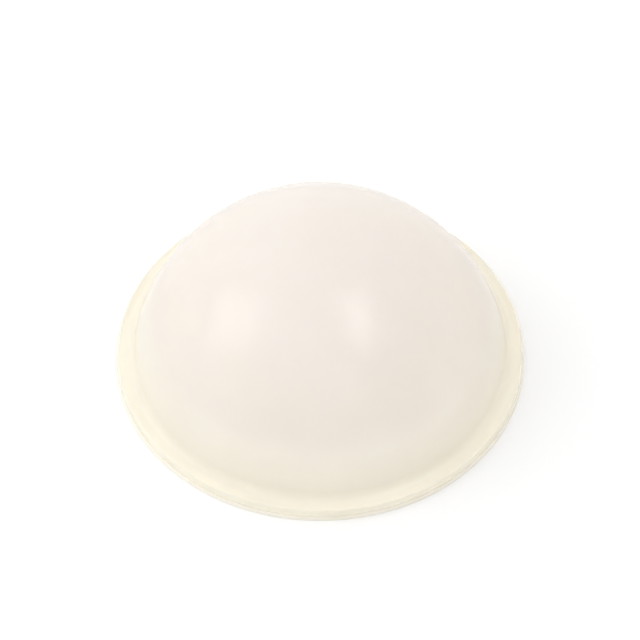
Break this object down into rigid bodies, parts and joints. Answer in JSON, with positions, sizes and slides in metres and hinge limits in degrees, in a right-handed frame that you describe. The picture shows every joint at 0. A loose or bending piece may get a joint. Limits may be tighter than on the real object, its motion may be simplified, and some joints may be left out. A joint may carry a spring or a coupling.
{
  "type": "adhesive bumper foot",
  "caption": "Small hemispherical self-adhesive bumper foot of half-clear polyurethane, with a thin round skirt and a flat adhesive base.",
  "frame": {"origin": "middle of the adhesive's underside, the face that is stuck down", "axes": "+Z along the dome's axis, from the adhesive face towards the crown; +X and +Y are any two directions across it, because the part is round"},
  "size_m": [0.0122, 0.0122, 0.0051],
  "materials": {
    "polyurethane": "glossy, half clear, warm cream",
    "adhesive": "satin, tacky film, slightly yellow"
  },
  "bodies": {
    "root": {"bumper_dome": "polyurethane", "adhesive_disc": "adhesive"}
  },
  "joints": []
}
